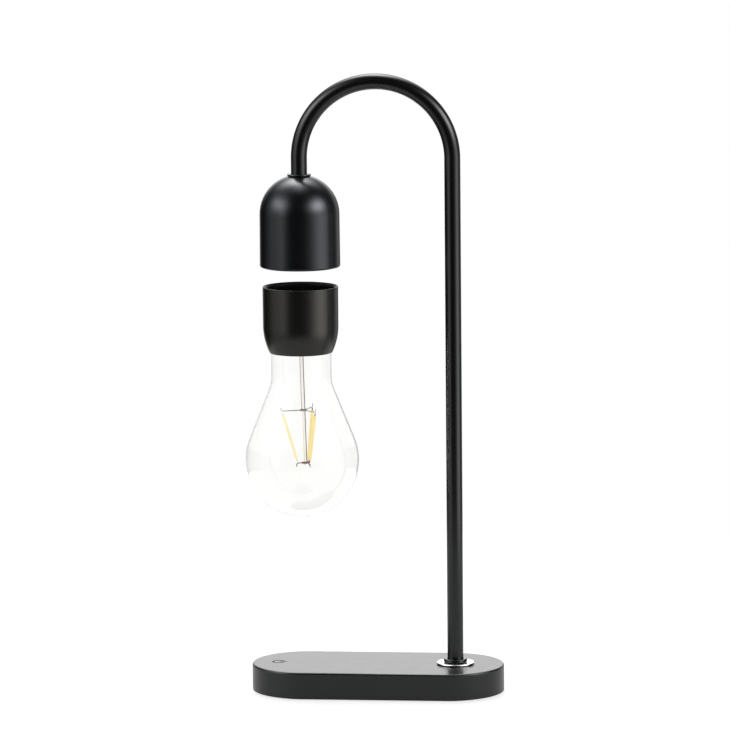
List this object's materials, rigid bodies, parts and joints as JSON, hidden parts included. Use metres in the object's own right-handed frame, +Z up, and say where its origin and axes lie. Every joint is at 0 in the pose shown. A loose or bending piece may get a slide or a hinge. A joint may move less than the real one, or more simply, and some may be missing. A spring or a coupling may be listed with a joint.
{
  "type": "levitating table lamp",
  "caption": "Table lamp with a pill-shaped base, a bent tube stem and a dome head, under which a magnetically held filament bulb floats and turns.",
  "frame": {"origin": "middle of the foot pad's underside, where the lamp stands", "axes": "+X along the base from the touch mark to the stem, -Y the front, +Z up"},
  "size_m": [0.1577, 0.0692, 0.38],
  "materials": {
    "satin_black_plastic": "satin black paint on moulded plastic",
    "satin_black_steel": "satin black powder coat on steel tube",
    "satin_black_aluminium": "satin black paint on turned aluminium",
    "matt_black_plastic": "fine matt moulded black",
    "polished_steel": "turned and polished steel",
    "zinc_plated_steel": "bright zinc plate",
    "plain_steel": "plain rolled steel",
    "nickel_plated_magnet": "nickel plate",
    "copper_winding": "enamelled copper wire",
    "dark_ferrite": "pressed ferrite",
    "green_circuit_board": "green solder resist",
    "white_nylon": "natural moulded nylon",
    "black_rubber": "soft matt rubber",
    "black_cable_sheath": "smooth cable sheath",
    "clear_glass": "clear blown glass",
    "dull_nickel_wire": "drawn nickel wire",
    "glowing_phosphor": "yellow phosphor coat, lit"
  },
  "bodies": {
    "stand": {"base_shell": "satin_black_plastic", "base_plate": "matt_black_plastic", "foot_pad": "black_rubber", "base_screw_1": "zinc_plated_steel", "base_screw_2": "zinc_plated_steel", "base_screw_3": "zinc_plated_steel", "base_screw_4": "zinc_plated_steel", "ballast_weight": "plain_steel", "charging_coil": "copper_winding", "coil_ferrite": "dark_ferrite", "touch_electrode": "copper_winding", "base_circuit_board": "green_circuit_board", "power_socket": "matt_black_plastic", "power_socket_pin": "zinc_plated_steel", "stem_tube": "satin_black_steel", "stem_lead": "black_cable_sheath", "stem_washer": "polished_steel", "stem_collar": "satin_black_aluminium", "stem_lock_washer": "zinc_plated_steel", "stem_locknut": "zinc_plated_steel", "head_collar": "satin_black_aluminium", "head_locknut": "zinc_plated_steel", "head_shell": "satin_black_aluminium", "head_cover": "matt_black_plastic", "magnet_bobbin": "white_nylon", "magnet_winding": "copper_winding", "magnet_core": "plain_steel", "hall_sensor": "matt_black_plastic", "bias_magnet": "nickel_plated_magnet", "transmitter_coil": "copper_winding", "head_circuit_board": "green_circuit_board"},
    "floating_magnet": {"lift_magnet": "nickel_plated_magnet"},
    "side_sway_ring": {"magnet_holder": "white_nylon"},
    "front_sway_ring": {"receiver_coil": "copper_winding"},
    "bulb": {"receiver_board": "green_circuit_board", "cap_shell": "matt_black_plastic", "cap_cover": "matt_black_plastic", "glass_envelope": "clear_glass", "glass_stem": "clear_glass", "bulb_lead_1": "dull_nickel_wire", "bulb_lead_2": "dull_nickel_wire", "support_rod": "clear_glass", "upper_lead_wire": "dull_nickel_wire", "lower_lead_wire": "dull_nickel_wire", "upper_wire_star": "dull_nickel_wire", "lower_wire_star": "dull_nickel_wire", "filament_1": "glowing_phosphor", "filament_2": "glowing_phosphor", "filament_3": "glowing_phosphor"}
  },
  "joints": [
    {"name": "bulb_lift", "type": "slide", "parent": "stand", "child": "floating_magnet", "axis": [0, 0, 1], "range_m": [-0.09, 0.01], "stiffness_N_per_m": 200, "springref_m": 0.00455},
    {"name": "bulb_sway_side", "type": "hinge", "parent": "floating_magnet", "child": "side_sway_ring", "pos_m": [-0.0456, 0, 0.24285], "axis": [0, 1, 0], "range_deg": [-2, 2]},
    {"name": "bulb_sway_front", "type": "hinge", "parent": "side_sway_ring", "child": "front_sway_ring", "pos_m": [-0.0456, 0, 0.24285], "axis": [1, 0, 0], "range_deg": [-2, 2]},
    {"name": "bulb_spin", "type": "hinge", "parent": "front_sway_ring", "child": "bulb", "pos_m": [-0.0456, 0, 0.24285], "axis": [0, 0, 1], "continuous": true}
  ]
}
